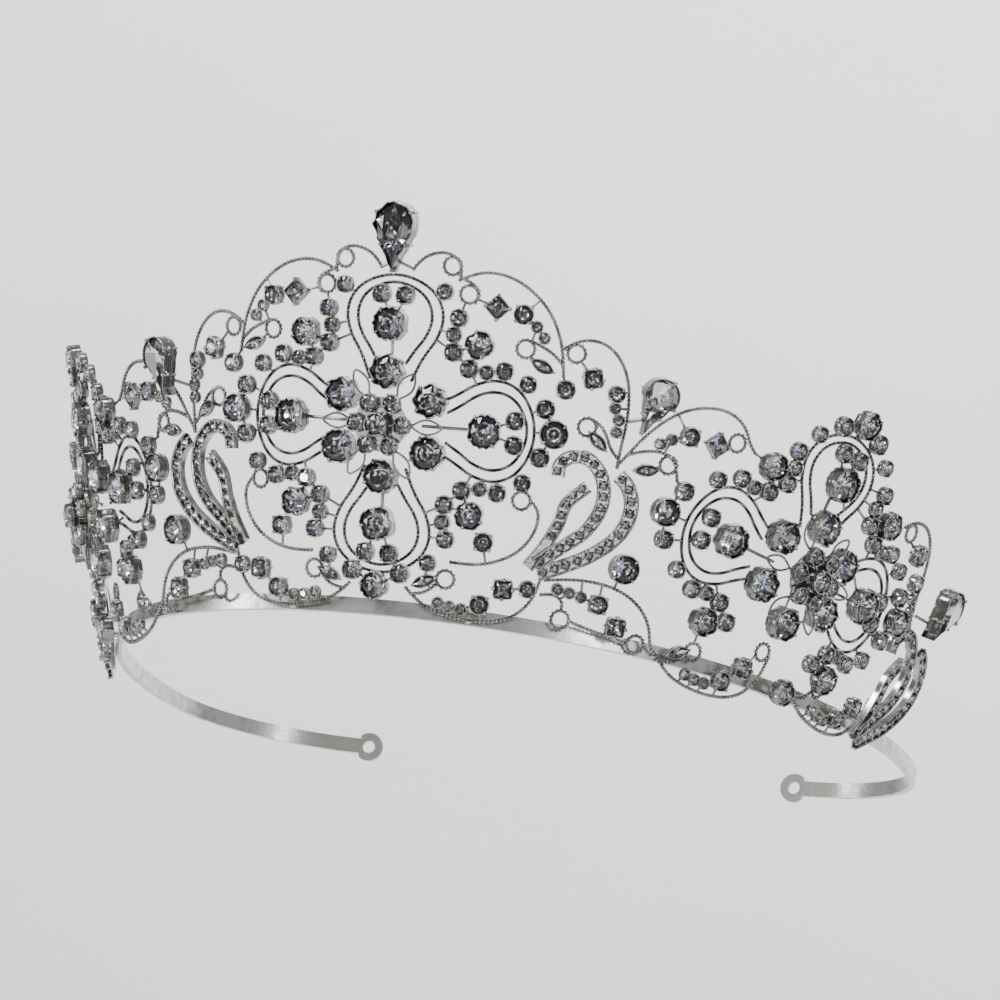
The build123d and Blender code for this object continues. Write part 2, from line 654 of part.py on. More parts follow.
# ---- Ribbons: three channelled strands from one knot, filled with small stones
def strand_lines(sheet):
    """Middle line of each strand in the ribbon's own plane."""
    side = MEDALLIONS[sheet][3]
    u, v = RIBBON_CENTRE
    return [[(side * (x - u), y - v) for x, y in strand] for strand in STRANDS]


def ribbon_plane(sheet, place):
    u, v, turn = RIBBON_SEATS[place]
    return seat(sheet, u, v, SEAT, turn)


def ribbon(sheet, place):
    plane = ribbon_plane(sheet, place)
    with BuildPart() as strip:
        for narrower, level, height, mode in (
            (0.0, 0.0, RIBBON_THICKNESS, Mode.ADD),
            (2 * CHANNEL_EDGE, RIBBON_THICKNESS - CHANNEL_DEPTH, CHANNEL_DEPTH, Mode.SUBTRACT),
        ):
            with BuildSketch(plane.offset(level)):
                for points, width in zip(strand_lines(sheet), STRAND_WIDTHS):
                    with BuildLine() as middle:
                        Spline(*points)
                    trace(middle.line, line_width=width - narrower)
            extrude(amount=height, mode=mode)
    return strip.part


def ribbon_stone_seats(sheet, place):
    """Seats along the channels; where strands cross, only one strand's stones are kept."""
    plane = ribbon_plane(sheet, place)
    kept = []
    for points in reversed(strand_lines(sheet)):
        middle = Spline(*points)
        count = int(middle.length / PAVE_PITCH)
        for k in range(count):
            spot = middle @ ((k + 0.5) / count)
            if all((spot - other).length > PAVE_PITCH - 0.1 for other in kept):
                kept.append(spot)
    return [Plane(plane.from_local_coords(spot), x_dir=plane.x_dir, z_dir=plane.z_dir) for spot in kept]


pave_seats = []
for side, (inner, outer) in UNITS.items():
    for place, sheet in (("front", inner), ("end", outer)):
        save(f"{side}_{place}_ribbon", ribbon(sheet, place))
        pave_seats += ribbon_stone_seats(sheet, place)
save_group("ribbon_stones", [(round_gem(PAVE_STONE), pave_seats)])


# ---- Band: a horseshoe strip behind the filigree, with solder pins that carry the filigree
inset = BAND_LINE * sin(LEAN) + BAND_DEPTH * cos(LEAN)
middle_height = BASE_HEIGHT + BAND_LINE * cos(LEAN) - BAND_DEPTH * sin(LEAN)
with BuildPart() as base_band:
    with BuildSketch(Plane.XY.offset(middle_height - BAND_HEIGHT / 2)):
        with BuildLine() as half:
            front = JernArc(
                (0, -inset - BASE_SETBACK), (1, 0), FRONT_RADIUS + inset, degrees_of(FRONT_ARC, FRONT_RADIUS)
            )
            flank = JernArc(front @ 1, front % 1, SIDE_RADIUS + inset, degrees_of(SIDE_ARC, SIDE_RADIUS))
            tail = JernArc(flank @ 1, flank % 1, TAIL_RADIUS + inset, degrees_of(TAIL_ARC, TAIL_RADIUS))
        trace(half.line, line_width=BAND_THICKNESS)
    extrude(amount=BAND_HEIGHT)
    for sheet, u, v in PINS:
        with BuildSketch(seat(sheet, u, v, BAND_DEPTH)):
            Circle(PIN_RADIUS)
        extrude(amount=-BAND_DEPTH - BEADED_RADIUS - PIN_GAP)
    mirror(about=Plane.YZ)
save("base_band", base_band.part)

# ---- Eyelets: a pierced disc butted to each end of the band
band_end, along = tail @ 1, tail % 1
hole_centre = band_end + along * EYELET_SETBACK
with BuildPart() as right_eyelet:
    eyelet_face = Plane(
        (hole_centre.X, hole_centre.Y, middle_height), x_dir=along, z_dir=along.rotate(Axis.Z, 90)
    )
    with BuildSketch(eyelet_face):
        Circle(EYELET_RADIUS)
        Circle(EYELET_HOLE, mode=Mode.SUBTRACT)
    extrude(amount=EYELET_THICKNESS / 2, both=True)
    split(bisect_by=Plane(band_end, z_dir=along), keep=Keep.TOP)
save("right_eyelet", right_eyelet.part)
save("left_eyelet", mirror(right_eyelet.part, about=Plane.YZ))
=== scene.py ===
from math import atan2, cos, hypot, inf, pi, radians, sin
from random import Random

import bpy
import numpy as np
from mathutils import Matrix, Vector


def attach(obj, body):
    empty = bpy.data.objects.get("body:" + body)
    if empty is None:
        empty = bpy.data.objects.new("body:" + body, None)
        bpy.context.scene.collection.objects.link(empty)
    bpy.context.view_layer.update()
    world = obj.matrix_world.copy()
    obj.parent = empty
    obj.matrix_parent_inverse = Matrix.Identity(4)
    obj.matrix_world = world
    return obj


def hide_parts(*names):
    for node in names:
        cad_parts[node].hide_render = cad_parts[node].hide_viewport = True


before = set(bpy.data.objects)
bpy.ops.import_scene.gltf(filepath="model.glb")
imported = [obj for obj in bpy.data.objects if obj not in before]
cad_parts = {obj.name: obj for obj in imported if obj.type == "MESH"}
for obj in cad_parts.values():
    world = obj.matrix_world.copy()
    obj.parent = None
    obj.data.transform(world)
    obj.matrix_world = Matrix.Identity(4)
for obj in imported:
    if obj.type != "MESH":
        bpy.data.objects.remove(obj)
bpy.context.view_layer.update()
MM = 0.001

# ---- The base line, the lean and the flat pattern that is rolled onto the front, in millimetres
ARCS = ((74.0, 80.0), (128.0, 80.0), (34.5, inf))
LEAN = radians(16.4)
BASE_HEIGHT = 6.98
BASE_SETBACK = 59.61
MEDALLIONS = {
    "centre": (0.0, 33.0, 0.0, 1),
    "centre_mirrored": (0.0, 33.0, 0.0, -1),
    "right": (80.0, 20.5, -4.7, 1),
    "left": (80.0, 20.5, -4.7, -1),
}
UNITS = {"right": ("centre", "right"), "left": ("centre_mirrored", "left")}
PETAL_TURNS = {"centre": (0, 90, 180, 270), "left": (0, 90, 180), "right": (0, 90, 180)}

INNER_PETAL = [(11.4, 2.8), (14.0, 4.3), (16.6, 6.4), (20.0, 7.6), (23.4, 6.8), (25.8, 4.2)]
OUTER_PETAL = [(8.2, 4.1), (11.0, 5.2), (13.6, 6.6), (16.6, 8.7), (20.8, 9.8), (24.6, 8.4), (27.2, 5.0)]
LEAF_HALF = [(5.6, 0.0), (6.9, 1.0), (8.6, 1.5), (10.2, 1.0)]
LEAF_RISE = 3.85
CREST = [(3.2, 29.4), (4.4, 31.2), (6.9, 32.7), (9.9, 33.0), (12.1, 31.6), (12.5, 29.3), (12.3, 28.0)]
BIG_ARC = [(12.3, 28.0), (15.4, 29.6), (19.5, 29.8), (23.5, 28.6), (27.2, 26.0), (30.0, 22.7),
           (31.7, 18.9), (32.6, 15.2), (32.9, 11.2)]
BIG_CURL = [(12.8, 28.3), (15.6, 27.2), (16.3, 25.0), (15.4, 23.9)]
LOW_CURL = [(26.6, 17.4), (29.8, 16.0), (31.5, 14.6), (32.6, 13.4)]
SIDE_ARC = [(32.5, 16.2), (34.8, 17.9), (38.3, 18.4), (41.4, 17.3), (43.8, 14.7), (45.3, 11.1),
            (45.7, 6.5), (45.4, 2.2), (44.6, -1.9), (44.2, -5.4)]
SIDE_CURL = [(38.3, 3.6), (40.4, 2.7), (41.9, 0.4), (42.7, -2.2), (44.4, -4.0)]
END_ARC = [(24.5, 17.7), (26.8, 19.4), (30.3, 19.9), (33.4, 18.8), (35.8, 16.2), (37.3, 12.6), (38.0, 8.0),
           (38.9, 3.5), (40.6, 0.2), (42.3, -2.6)]
FOOT_ARC = [(28.2, -12.6), (29.6, -13.8), (30.0, -16.4), (28.8, -19.8), (26.0, -22.9), (21.9, -24.8),
            (17.7, -25.5), (14.0, -25.2)]
BRIDGE_ARC = [(44.3, -5.0), (46.8, -2.1), (49.2, 0.7), (52.5, 3.5), (56.3, 5.7), (60.6, 6.6), (65.0, 6.2),
              (68.2, 4.4), (70.0, 2.0), (70.8, -0.5), (72.0, -2.0)]
BRIDGE_CURL = [(46.2, -2.9), (48.2, -2.3), (50.8, -2.0), (53.4, -2.3), (55.4, -3.8), (56.0, -6.0),
               (56.2, -7.6)]
LOWER_ARC = [(32.0, -27.4), (36.0, -27.0), (40.6, -27.2), (45.1, -28.2), (48.9, -30.2), (51.6, -33.0),
             (52.9, -36.0), (53.1, -38.4), (53.8, -40.2), (54.8, -41.0)]
LOWER_CURL = [(31.4, -30.2), (33.4, -29.9), (35.0, -30.7), (35.6, -32.0), (35.2, -33.0)]
LOWER_BAR = [(36.9, -34.9), (39.8, -36.1), (43.0, -37.0), (46.2, -38.0), (48.5, -38.8)]
SCALLOP = [(0.0, 0.0), (2.6, -2.7), (7.2, -4.5), (12.2, -5.3), (16.9, -5.2), (20.5, -4.1), (23.1, -1.8),
           (24.9, 1.2), (25.4, 4.0)]
SCALLOP_STEM = [(1.0, -1.0), (3.2, -0.8), (5.0, 0.4), (5.9, 1.4)]
SCALLOP_RING = (7.4, 2.2)
SCALLOPS = {"inner": [(5.7, -30.7, 0.0), (54.7, -41.0, -11.0)], "outer": [(11.5, -20.5, 3.0)]}
UPPER_RINGS = [(10.7, 30.5), (14.2, 25.4), (25.5, 15.9), (35.1, 15.6), (38.0, 1.9), (68.0, -0.1),
               (54.2, -4.6)]
LOWER_RINGS = [(26.5, -12.7), (50.2, -38.9), (35.2, -34.7)]
END_RINGS = [(27.1, 17.1), (0.0, -16.4)]
RING_RADIUS = 1.7
INNER_TIP, OUTER_TIP, LEAF_TIP = 27.0, 28.4, 11.6

STRANDS = [
    [(28.2, -25.0), (31.2, -20.9), (33.4, -16.8), (34.9, -12.6), (38.6, -9.2)],
    [(29.8, -24.3), (34.4, -20.9), (38.4, -18.0), (41.0, -14.3), (41.8, -10.4), (40.9, -6.6),
     (38.4, -4.0), (35.4, -3.7), (33.2, -5.2), (32.8, -7.6)],
    [(30.2, -26.2), (34.6, -24.6), (39.2, -22.6), (43.4, -19.8), (46.2, -16.4), (47.2, -12.4),
     (46.3, -8.9), (44.4, -6.8)],
]
STRAND_WIDTHS = (2.5, 2.7, 2.9)
RIBBON_CENTRE = (37.0, -16.0)
RIBBON_SEATS = {"front": (37.0, -16.0, 0.0), "end": (40.5, -12.8, 10.0)}
SEAT = 0.5
PEAR_TIPS = {"front": (47.4, 1.6), "end": (41.0, 0.5)}
STRUT_START = (1.2, 2.7, 2.55)  # from the pear's tip, and out from the wires
STRUT_ENDS = {"front": (45.6, 3.4), "end": (39.1, 3.4)}
STRUT_END_DEPTH = 0.85
STEM_RADIUS, TIE_RADIUS = 0.35 * MM, 0.32 * MM
STEM_STOPS = (6.8, 12.0, 18.9)  # along a petal's middle
PRONG_BALL = 0.42 * MM


def base_line(s):
    """Plan point and heading of the base line at s along it from the middle."""
    side = 1 if s >= 0 else -1
    x, y, heading, left = 0.0, 0.0, 0.0, abs(s)
    for radius, length in ARCS:
        turned = heading + min(left, length) / radius
        x += radius * (sin(turned) - sin(heading))
        y += radius * (cos(heading) - cos(turned))
        heading = turned
        left -= min(left, length)
    return side * x, y, side * heading


def on_front(s, h, d=0.0):
    """Point h up the leaning front at s along the base line, and d out from it."""
    x, y, heading = base_line(s)
    out = h * sin(LEAN) + d * cos(LEAN)
    up = h * cos(LEAN) - d * sin(LEAN)
    return np.array((x + out * sin(heading), y - out * cos(heading) - BASE_SETBACK, up + BASE_HEIGHT)) * MM


def on_sheet(medallion, u, v, d=0.0):
    """Point (u, v) of the flat pattern about a medallion's centre, rolled onto the front."""
    centre, height, turn, side = MEDALLIONS[medallion]
    across = u * cos(radians(turn)) - v * sin(radians(turn))
    up = u * sin(radians(turn)) + v * cos(radians(turn))
    radius = ARCS[1][0] if centre > 0 and across > 0 else ARCS[0][0]
    apex = radius / sin(LEAN)
    angle = atan2(across, apex + height + up)
    return on_front(side * (centre + angle * apex), hypot(across, apex + height + up) - apex, d)


def unit(vector):
    return vector / np.linalg.norm(vector)


def seat(medallion, u, v, d=SEAT, turn=0.0):
    """Origin, x axis, y axis and outward normal of a plane tangent to the front at (u, v)."""
    origin = on_sheet(medallion, u, v, d)
    normal = unit(on_sheet(medallion, u, v, d + 1) - origin)
    side = MEDALLIONS[medallion][3]
    x = unit(on_sheet(medallion, u + 0.01, v, d) - origin) * side
    y = np.cross(normal, x)
    a = side * radians(turn)
    x = x * cos(a) + y * sin(a)
    return origin, x, np.cross(normal, x), normal


def moved(points, u, v, turn=0.0):
    c, s = cos(radians(turn)), sin(radians(turn))
    return [(u + x * c - y * s, v + x * s + y * c) for x, y in points]


# ---- Curves and meshes
def smooth(points, steps=14):
    """Points along a smooth curve drawn by its corner points, starting and ending at the end ones."""
    p = [np.asarray(q, float) for q in points]
    if len(p) == 2:
        return np.array([p[0] + (p[1] - p[0]) * k / steps for k in range(steps + 1)])
    line = []
    mids = [(a + b) / 2 for a, b in zip(p, p[1:])]
    for k, corner in enumerate(p[1:-1]):
        a = mids[k] if k else p[0]
        b = mids[k + 1] if k < len(p) - 3 else p[-1]
        for i in range(steps):
            t = i / steps
            line.append((1 - t) ** 2 * a + 2 * t * (1 - t) * corner + t * t * b)
    line.append(p[-1])
    return np.array(line)


def even(line, pitch):
    """The curve's points again, evenly spaced at about the pitch."""
    lengths = np.concatenate([[0], np.cumsum(np.linalg.norm(np.diff(line, axis=0), axis=1))])
    count = max(2, int(round(lengths[-1] / pitch)) + 1)
    at = np.linspace(0, lengths[-1], count)
    return np.stack([np.interp(at, lengths, line[:, k]) for k in range(3)], 1)


def frames(line):
    """Tangent and two normals at each point, carried along without twist."""
    t = np.gradient(line, axis=0)
    t /= np.linalg.norm(t, axis=1)[:, None]
    a = np.zeros_like(t)
    first = np.cross(t[0], (0, 0, 1.0))
    a[0] = unit(first if np.linalg.norm(first) > 0.05 else np.cross(t[0], (0, 1.0, 0)))
    for k in range(1, len(t)):
        a[k] = unit(a[k - 1] - t[k] * np.dot(a[k - 1], t[k]))
    return t, a, np.cross(t, a)


class Build:
    """Vertices and faces collected for one piece."""

    def __init__(self):
        self.verts, self.faces, self.smooth, self.slots, self.painted_shading = [], [], [], [], []
        self.count = 0

    def add(self, verts, faces, smoothed=True, slot=0, tone=1.0, facets=None):
        """Tone is painted shade that darkens hollows, or painted reflection on foil facets: one number, one
        for each vertex, or one for each facet.
        """
        verts = np.asarray(verts, float)
        self.verts.append(verts)
        painted_shading = np.broadcast_to(tone, (len(verts),)).tolist()
        for k, face in enumerate(faces):
            self.painted_shading += [facets[k]] * len(face) if facets else [painted_shading[i] for i in face]
        self.faces += [[i + self.count for i in face] for face in faces]
        self.smooth += [smoothed] * len(faces)
        self.slots += [slot] * len(faces)
        self.count += len(verts)

    def tube(self, line, radius, sides=8, tone=1.0):
        """Round tube along a line; radius may be a number or one for each point."""
        t, a, b = frames(line)
        radius = np.broadcast_to(np.asarray(radius, float), (len(line),))
        angles = np.arange(sides) * 2 * pi / sides
        ring = a[:, None] * np.cos(angles)[None, :, None] + b[:, None] * np.sin(angles)[None, :, None]
        verts = (line[:, None] + ring * radius[:, None, None]).reshape(-1, 3)
        faces = []
        for k in range(len(line) - 1):
            for i in range(sides):
                j = (i + 1) % sides
                faces.append((k * sides + i, k * sides + j, (k + 1) * sides + j, (k + 1) * sides + i))
        faces.append(tuple(reversed(range(sides))))
        faces.append(tuple((len(line) - 1) * sides + i for i in range(sides)))
        self.add(verts, faces, tone=tone)

    def rope(self, line, radius, pitch, sides=7):
        """Two strands twisted round each other along a line."""
        line = even(line, pitch / 11)
        RUNS.append(line[::4])
        t, a, b = frames(line)
        length = np.concatenate([[0], np.cumsum(np.linalg.norm(np.diff(line, axis=0), axis=1))])
        strand_radius = radius * 0.5
        for k in range(2):
            turn = length / pitch * 2 * pi + pi * k
            offset = a * np.cos(turn)[:, None] + b * np.sin(turn)[:, None]
            angles = np.arange(sides) * 2 * pi / sides
            ring = (a[:, None] * np.cos(angles)[None, :, None]
                    + b[:, None] * np.sin(angles)[None, :, None])
            # Painted shade: each strand is darker on the side turned towards the other strand
            rope_painted_shade = np.clip((ring * offset[:, None]).sum(2) * 0.6 + 0.55, 0.06, 1.0)
            self.tube(line + offset * (radius - strand_radius), strand_radius, sides, rope_painted_shade.ravel())

    def beads(self, line, radius, pitch):
        """A row of beads on a thin core."""
        points = even(line, pitch)
        RUNS.append(points)
        # Painted shade: the core between the beads is darkened to 0.35
        self.tube(points, radius * 0.6, 6, 0.35)
        t, a, b = frames(points)
        for centre, x, y, z in zip(points, t, a, b):
            self.ball(centre, radius, (x * 0.94, y, z), BEAD_PAINTED_SHADE)

    def ball(self, centre, radius, axes=None, tone=1.0):
        verts = BALL_VERTS * radius
        if axes is not None:
            verts = verts @ np.array(axes)
        self.add(verts + centre, BALL_FACES, tone=tone)

    def lathe(self, centre, x, y, n, rings, closed=True, painted_shading=None):
        """Rings of (radii, height) about an axis, joined in order; radii is one number for each angle."""
        sides = len(rings[0][0])
        angles = np.arange(sides) * 2 * pi / sides
        verts = []
        for radii, height in rings:
            radii = np.asarray(radii)
            verts.append(centre + n * height + (x * np.cos(angles)[:, None] + y * np.sin(angles)[:, None])
                         * radii[:, None])
        faces = []
        for k in range(len(rings) - 1):
            for i in range(sides):
                j = (i + 1) % sides
                faces.append((k * sides + i, k * sides + j, (k + 1) * sides + j, (k + 1) * sides + i))
        if closed:
            faces.append(tuple(reversed(range(sides))))
            faces.append(tuple((len(rings) - 1) * sides + i for i in range(sides)))
        tone = 1.0 if painted_shading is None else np.repeat(np.array(painted_shading, float), sides)
        self.add(np.concatenate(verts), faces, tone=tone)

    def piece(self, name, materials, nodes, slot_name):
        mesh = bpy.data.meshes.new(name)
        mesh.from_pydata(np.concatenate(self.verts).tolist(), [], self.faces)
        mesh.polygons.foreach_set("use_smooth", self.smooth)
        mesh.polygons.foreach_set("material_index", self.slots)
        for material in materials:
            mesh.materials.append(material)
        # Painted shade and painted reflection, kept as the mesh's tone colours
        tone = mesh.color_attributes.new("tone", "FLOAT_COLOR", "CORNER")
        values = np.array(self.painted_shading)
        tone.data.foreach_set("color", np.stack([values, values, values, np.ones_like(values)], 1).ravel())
        mesh.update()
        obj = bpy.data.objects.new(name, mesh)
        bpy.context.scene.collection.objects.link(obj)
        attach(obj, "root")
        if nodes:
            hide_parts(*nodes)
        return obj


def ball_mesh():
    """A small round bead: rings of eight points between two poles."""
    rings, sides = 5, 8
    verts = [(0.0, 0.0, 1.0)]
    for k in range(1, rings):
        a = pi * k / rings
        verts += [(sin(a) * cos(2 * pi * i / sides), sin(a) * sin(2 * pi * i / sides), cos(a))
                  for i in range(sides)]
    verts.append((0.0, 0.0, -1.0))
    faces = [(0, 1 + i, 1 + (i + 1) % sides) for i in range(sides)]
    for k in range(rings - 2):
        base = 1 + k * sides
        faces += [(base + i, base + sides + i, base + sides + (i + 1) % sides, base + (i + 1) % sides)
                  for i in range(sides)]
    base = 1 + (rings - 2) * sides
    faces += [(len(verts) - 1, base + (i + 1) % sides, base + i) for i in range(sides)]
    return np.array(verts), faces


BALL_VERTS, BALL_FACES = ball_mesh()
# Painted shade on each bead, darker towards its ends where it meets its neighbours
BEAD_PAINTED_SHADE = np.clip(1.15 - 1.0 * np.abs(BALL_VERTS[:, 0]) ** 1.6, 0.25, 1.0)  # dark where beads meet


# ---- Materials
def node_material(name):
    material = bpy.data.materials.new(name)
    material.use_nodes = True
    tree = material.node_tree
    return material, tree.nodes, tree.links, tree.nodes["Principled BSDF"]


def with_painted_shading(nodes, links, colour):
    """The colour multiplied by the painted shade and painted reflection stored on the mesh as its tone."""
    painted = nodes.new("ShaderNodeVertexColor")
    painted.layer_name = "tone"
    shaded = nodes.new("ShaderNodeMix")
    shaded.data_type = "RGBA"
    shaded.blend_type = "MULTIPLY"
    shaded.inputs["Factor"].default_value = 1.0
    links.new(colour, shaded.inputs["A"])
    links.new(painted.outputs["Color"], shaded.inputs["B"])
    return shaded.outputs["Result"]


def metal(name, light, dark, rough, bump_scale, bump, painted_shade=True):
    """Plated metal: slightly uneven tone, darker spots of tarnish, fine polishing marks, and painted shade
    from the mesh unless turned off.
    """
    material, nodes, links, shader = node_material(name)
    shader.inputs["Metallic"].default_value = 1.0
    where = nodes.new("ShaderNodeTexCoord")
    patches = nodes.new("ShaderNodeTexNoise")
    patches.inputs["Scale"].default_value = 420
    patches.inputs["Detail"].default_value = 6
    tone = nodes.new("ShaderNodeValToRGB")
    tone.color_ramp.elements[0].position = 0.32
    tone.color_ramp.elements[0].color = (*dark, 1)
    tone.color_ramp.elements[1].position = 0.56
    tone.color_ramp.elements[1].color = (*light, 1)
    links.new(where.outputs["Object"], patches.inputs["Vector"])
    links.new(patches.outputs["Fac"], tone.inputs["Fac"])
    colour = tone.outputs["Color"]
    # Painted shade from the mesh multiplies the colour
    links.new(with_painted_shading(nodes, links, colour) if painted_shade else colour, shader.inputs["Base Color"])
    spread = nodes.new("ShaderNodeMapRange")
    spread.inputs["To Min"].default_value = rough * 1.7
    spread.inputs["To Max"].default_value = rough * 0.7
    links.new(patches.outputs["Fac"], spread.inputs["Value"])
    links.new(spread.outputs["Result"], shader.inputs["Roughness"])
    fine = nodes.new("ShaderNodeTexNoise")
    fine.inputs["Scale"].default_value = bump_scale
    fine.inputs["Detail"].default_value = 4
    relief = nodes.new("ShaderNodeBump")
    relief.inputs["Strength"].default_value = bump
    relief.inputs["Distance"].default_value = 0.00005
    links.new(where.outputs["Object"], fine.inputs["Vector"])
    links.new(fine.outputs["Fac"], relief.inputs["Height"])
    links.new(relief.outputs["Normal"], shader.inputs["Normal"])
    return material


def foil():
    """Silver foil behind a stone, with faint painted flecks of blue and amber fire and a painted reflection
    on each facet.
    """
    material, nodes, links, shader = node_material("foil")
    shader.inputs["Metallic"].default_value = 1.0
    shader.inputs["Roughness"].default_value = 0.04
    where = nodes.new("ShaderNodeTexCoord")
    cells = nodes.new("ShaderNodeTexVoronoi")
    cells.inputs["Scale"].default_value = 1500
    split = nodes.new("ShaderNodeSeparateColor")
    # Painted glints of fire: rare blue, amber and grey flecks among the pale foil
    fire = nodes.new("ShaderNodeValToRGB")
    fire.color_ramp.interpolation = "CONSTANT"
    stops = fire.color_ramp.elements
    stops[0].position, stops[0].color = 0.0, (0.93, 0.94, 0.96, 1)
    stops[1].position, stops[1].color = 0.86, (0.36, 0.48, 0.92, 1)
    for position, colour in ((0.885, (0.95, 0.96, 0.97, 1)), (0.94, (0.96, 0.76, 0.42, 1)),
                             (0.955, (0.45, 0.46, 0.50, 1))):
        stops.new(position).color = colour
    links.new(where.outputs["Object"], cells.inputs["Vector"])
    links.new(cells.outputs["Color"], split.inputs["Color"])
    links.new(split.outputs["Red"], fire.inputs["Fac"])
    links.new(with_painted_shading(nodes, links, fire.outputs["Color"]), shader.inputs["Base Color"])
    return material


def crystal():
    """Clear lead crystal, with barely visible scuffs on its facets."""
    material, nodes, links, shader = node_material("crystal")
    shader.inputs["Base Color"].default_value = (0.98, 0.99, 1.0, 1)
    shader.inputs["Transmission Weight"].default_value = 1.0
    shader.inputs["IOR"].default_value = 1.62
    where = nodes.new("ShaderNodeTexCoord")
    scuffs = nodes.new("ShaderNodeTexNoise")
    scuffs.inputs["Scale"].default_value = 2600
    spread = nodes.new("ShaderNodeMapRange")
    spread.inputs["From Min"].default_value = 0.55
    spread.inputs["From Max"].default_value = 0.8
    spread.inputs["To Min"].default_value = 0.0
    spread.inputs["To Max"].default_value = 0.09
    links.new(where.outputs["Object"], scuffs.inputs["Vector"])
    links.new(scuffs.outputs["Fac"], spread.inputs["Value"])
    links.new(spread.outputs["Result"], shader.inputs["Roughness"])
    return material


WIRE = metal("rhodium_wire", (0.34, 0.33, 0.315), (0.12, 0.115, 0.105), 0.14, 2400, 0.30)
CUP = metal("rhodium_cup", (0.38, 0.37, 0.35), (0.15, 0.145, 0.135), 0.16, 1800, 0.25)
RIBBON = metal("rhodium_ribbon", (0.50, 0.485, 0.46), (0.22, 0.21, 0.195), 0.14, 1500, 0.25)
BAND = metal("rhodium_band", (0.66, 0.64, 0.60), (0.46, 0.44, 0.41), 0.22, 1300, 0.40, False)
PLATE = metal("rhodium_plate", (0.60, 0.58, 0.55), (0.22, 0.21, 0.19), 0.20, 1800, 0.30, False)
FOIL = foil()
CRYSTAL = crystal()


# ---- Stones: every solid of a stone node gives the place, axis and outline of one cut stone
def islands(node):
    """Vertices of each separate solid of a CAD node."""
    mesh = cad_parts[node].data
    co = np.zeros(len(mesh.vertices) * 3)
    mesh.vertices.foreach_get("co", co)
    co = co.reshape(-1, 3)
    keys, index = np.unique(np.round(co / 2e-6).astype(np.int64), axis=0, return_inverse=True)
    index = index.ravel()
    parent = list(range(len(keys)))

    def root(i):
        while parent[i] != i:
            parent[i] = parent[parent[i]]
            i = parent[i]
        return i

    for edge in mesh.edges:
        a, b = root(index[edge.vertices[0]]), root(index[edge.vertices[1]])
        if a != b:
            parent[a] = b
    points = {}
    first = {}
    for i, k in enumerate(index):
        first.setdefault(k, co[i])
    for k, p in first.items():
        points.setdefault(root(k), []).append(p)
    return [np.array(p) for p in points.values()]


SIDES = 32
DICE = Random(11)
# Painted reflection on the foil facets: a bright or dark tone drawn at random for each facet
FACET_PAINTED_REFLECTIONS = (1.0, 1.0, 1.0, 0.95, 0.85, 0.6, 0.3, 0.14)  # how much of the room each facet shows
SETTINGS = []  # back of each setting and its outside radius
RUNS = []  # points along the wires


def front_normal(place):
    """Outward normal of the leaning front beside a point."""
    x, y = place[0] / MM, place[1] / MM + BASE_SETBACK
    side = 1 if x >= 0 else -1
    (front, length), (flank, _), _ = ARCS
    heading = atan2(abs(x), front - y)
    limit = length / front
    if heading > limit:
        middle = (sin(limit) * (front - flank), front + (flank - front) * cos(limit))
        heading = atan2(abs(x) - middle[0], middle[1] - y)
    return np.array((side * sin(heading) * cos(LEAN), -cos(heading) * cos(LEAN), -sin(LEAN)))


def stone_seat(points, n):
    """Middle of the girdle, axes, outline radii, depth and crown height of a CAD stone."""
    middle = (points.min(0) + points.max(0)) / 2
    height = (points - middle) @ n
    low, high = height.min(), height.max()
    girdle_level = low + (high - low) * 0.7
    girdle = points[np.abs(height - girdle_level) < (high - low) * 0.12]
    level = np.median((girdle - middle) @ n)
    x = unit(np.cross((0, 0, 1.0), n))
    y = np.cross(n, x)
    flat = np.stack([(girdle - middle) @ x, (girdle - middle) @ y], 1)
    offset = (flat.max(0) + flat.min(0)) / 2
    centre = middle + n * level + x * offset[0] + y * offset[1]
    flat = flat - offset
    radii = np.linalg.norm(flat, axis=1)
    if radii.min() < radii.max() * 0.93:
        far = flat[np.argmax(radii)]
        x = unit(x * far[0] + y * far[1])
        y = np.cross(n, x)
        flat = np.stack([(girdle - centre) @ x, (girdle - centre) @ y], 1)
        radii = np.linalg.norm(flat, axis=1)
    a = np.arctan2(flat[:, 1], flat[:, 0])
    order = np.argsort(a)
    outline = ray_lengths(flat[order], SIDES)
    return centre, x, y, n, outline, level - low, high - level


def ray_lengths(corners, sides):
    """Distance from the middle to the outline in each direction."""
    out = []
    nxt = np.roll(corners, -1, axis=0)
    for k in range(sides):
        d = np.array((cos(2 * pi * k / sides), sin(2 * pi * k / sides)))
        cross_a = d[0] * corners[:, 1] - d[1] * corners[:, 0]
        cross_b = d[0] * nxt[:, 1] - d[1] * nxt[:, 0]
        hit = np.where((cross_a <= 1e-12) & (cross_b > -1e-12) & (np.abs(cross_b - cross_a) > 1e-15))[0]
        best = 0.0
        for i in hit:
            t = -cross_a[i] / (cross_b[i] - cross_a[i])
            best = max(best, float((corners[i] + t * (nxt[i] - corners[i])) @ d))
        out.append(best if best > 0 else float(np.linalg.norm(corners, axis=1).min()))
    return np.array(out)


def facing_away(verts, faces, inside):
    """The faces again, wound so that each one faces away from a point inside."""
    wound = []
    for face in faces:
        p = [verts[i] for i in face]
        normal = np.cross(p[1] - p[0], p[2] - p[0])
        wound.append(face if normal @ (np.mean(p, 0) - inside) > 0 else tuple(reversed(face)))
    return wound


